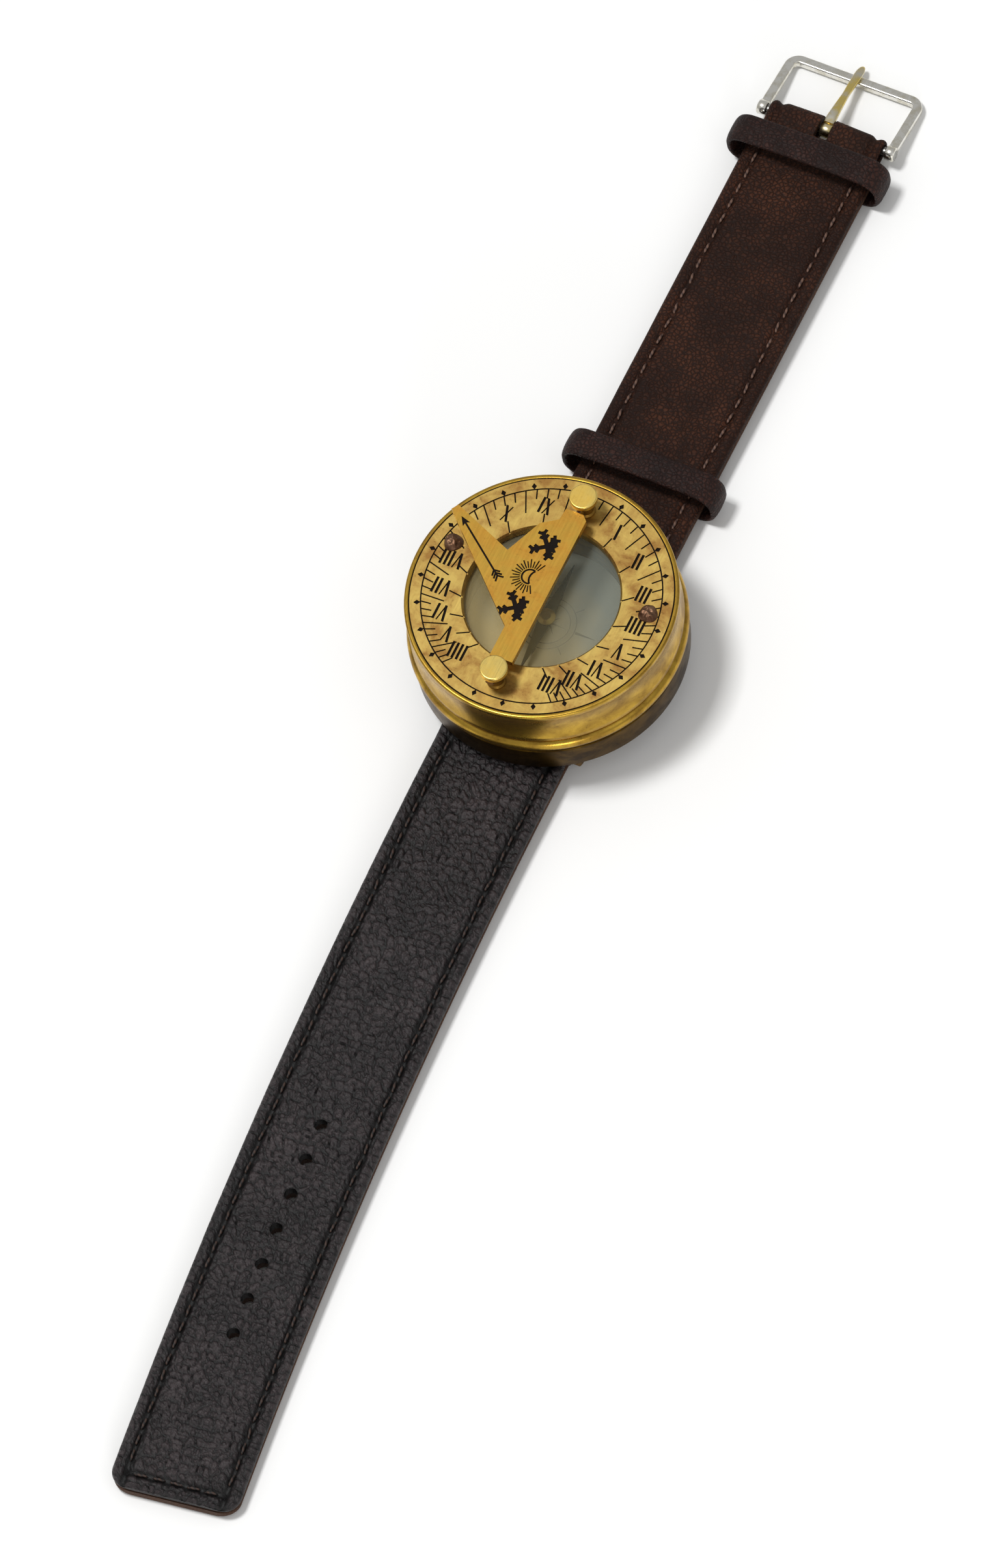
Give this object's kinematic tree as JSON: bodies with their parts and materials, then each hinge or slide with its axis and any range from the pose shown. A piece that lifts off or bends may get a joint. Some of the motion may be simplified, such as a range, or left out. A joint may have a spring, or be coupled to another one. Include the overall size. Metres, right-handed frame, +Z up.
{
  "type": "wrist sundial compass",
  "caption": "Round brass compass case with an engraved hour dial and a folding gnomon, on a two-piece leather strap with a buckle and keepers.",
  "frame": {"origin": "centre of the case back's flat rest face, straight below the dial's centre", "axes": "+Z up out of the dial, +Y along the strap to the buckle (the noon end of the dial), +X to the right of it seen from above"},
  "size_m": [0.046, 0.2807, 0.0265],
  "materials": {
    "brass_case": "aged brass, turned, dark in the grooves",
    "brass_ring": "aged brass with a polished rim",
    "brass_bracket": "dull aged brass sheet",
    "brass_screws": "machined brass",
    "brass_bowl": "spun brass",
    "brass_cap": "turned brass",
    "brass_dial": "antiqued brass, engraved and filled black",
    "brass_posts": "polished brass",
    "brass_gnomon": "polished brass, etched and filled black",
    "copper_rivets": "hammered, oxidised copper",
    "copper_pins": "peened copper",
    "steel_bars": "drawn stainless steel",
    "steel_pin": "ground steel",
    "blued_steel": "blued steel",
    "printed_card": "printed card, yellowed",
    "window_glass": "flat clear glass",
    "brown_leather": "smooth dark brown leather",
    "black_leather": "pebbled black-brown leather",
    "keeper_leather": "smooth dark brown leather",
    "lining_leather": "tan-brown lining leather",
    "sewing_thread": "waxed dark brown thread",
    "plated_buckle": "nickel plate",
    "plated_tongue": "worn gold-tone plate"
  },
  "bodies": {
    "case": {"case_back": "brass_case", "back_screws": "brass_screws", "strap_bracket": "brass_bracket", "strap_bars": "steel_bars", "case_base": "brass_case", "upper_ring": "brass_ring", "compass_bowl": "brass_bowl", "compass_card": "printed_card", "needle_pin": "steel_pin", "glass_seat": "brass_bowl", "window_glass": "window_glass", "dial_plate": "brass_dial", "dial_rivets": "copper_rivets", "gnomon_posts": "brass_posts", "post_nuts": "brass_screws", "pivot_pins": "copper_pins"},
    "needle": {"compass_needle": "blued_steel", "needle_cap": "brass_cap"},
    "gnomon": {"gnomon": "brass_gnomon"},
    "buckle_piece": {"buckle_piece_leather": "brown_leather", "buckle_piece_lining": "lining_leather", "buckle_piece_seam": "sewing_thread", "fixed_keeper": "keeper_leather", "buckle_bar": "steel_bars"},
    "loose_keeper": {"sliding_keeper": "keeper_leather"},
    "buckle": {"buckle_frame": "plated_buckle"},
    "tongue": {"buckle_tongue": "plated_tongue"},
    "tip_piece": {"tip_piece_leather": "black_leather", "tip_piece_lining": "lining_leather", "tip_piece_seam": "sewing_thread"}
  },
  "joints": [
    {"name": "needle_spin", "type": "hinge", "parent": "case", "child": "needle", "pos_m": [0, 0, 0.0142], "axis": [0, 0, 1], "continuous": true},
    {"name": "gnomon_fold", "type": "hinge", "parent": "case", "child": "gnomon", "pos_m": [0, 0, 0.0246], "axis": [0, 1, 0], "range_deg": [0, 180]},
    {"name": "buckle_piece_swing", "type": "hinge", "parent": "case", "child": "buckle_piece", "pos_m": [0, 0.0155, 0.0029], "axis": [-1, 0, 0], "range_deg": [-4, 90]},
    {"name": "tip_piece_swing", "type": "hinge", "parent": "case", "child": "tip_piece", "pos_m": [0, -0.0155, 0.0029], "axis": [1, 0, 0], "range_deg": [-4, 89]},
    {"name": "keeper_slide", "type": "slide", "parent": "buckle_piece", "child": "loose_keeper", "axis": [0, 1, 0], "range_m": [-0.007, 0.057]},
    {"name": "buckle_swing", "type": "hinge", "parent": "buckle_piece", "child": "buckle", "pos_m": [0, 0.1035, 0.0029], "axis": [1, 0, 0], "range_deg": [-75, 40]},
    {"name": "tongue_swing", "type": "hinge", "parent": "buckle", "child": "tongue", "pos_m": [0, 0.1035, 0.0029], "axis": [1, 0, 0], "range_deg": [0, 80]}
  ]
}
